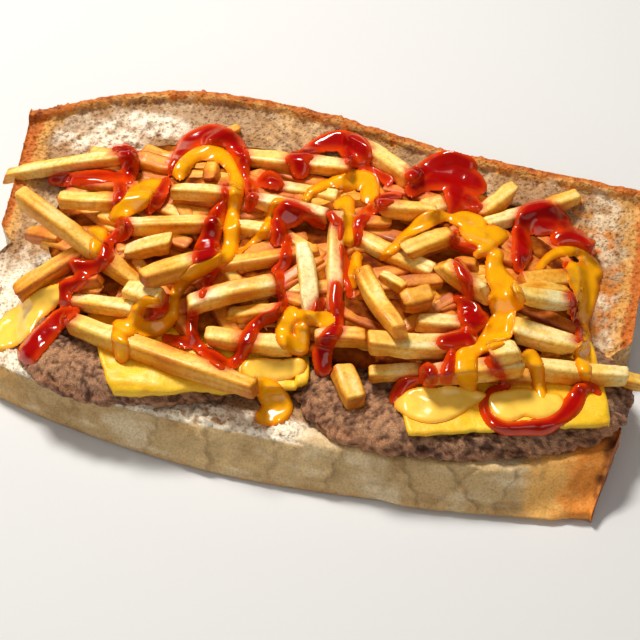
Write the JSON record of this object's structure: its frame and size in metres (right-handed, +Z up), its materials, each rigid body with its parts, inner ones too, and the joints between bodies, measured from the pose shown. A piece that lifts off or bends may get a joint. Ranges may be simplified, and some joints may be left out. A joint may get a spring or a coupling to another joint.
{
  "type": "open cheeseburger roll with fries",
  "caption": "Long roll split and opened flat, with beef patties and cheese slices under a heap of fries with ketchup and cheese sauce.",
  "frame": {"origin": "centre of the bounding box, at the height of the surface the roll lies on", "axes": "+X along the roll towards its right end, +Y towards the raised back half, +Z up"},
  "size_m": [0.312, 0.1868, 0.0649],
  "materials": {
    "bread": "matte baked crust and crumb",
    "beef": "coarse, slightly moist cooked mince",
    "cheese": "smooth, softly shining melted slice",
    "fries": "golden fried skin with glossy sauce over it"
  },
  "bodies": {
    "root": {"bread": "bread", "patty_left": "beef", "patty_right": "beef", "cheese_left": "cheese", "cheese_right": "cheese", "fries": "fries"}
  },
  "joints": []
}
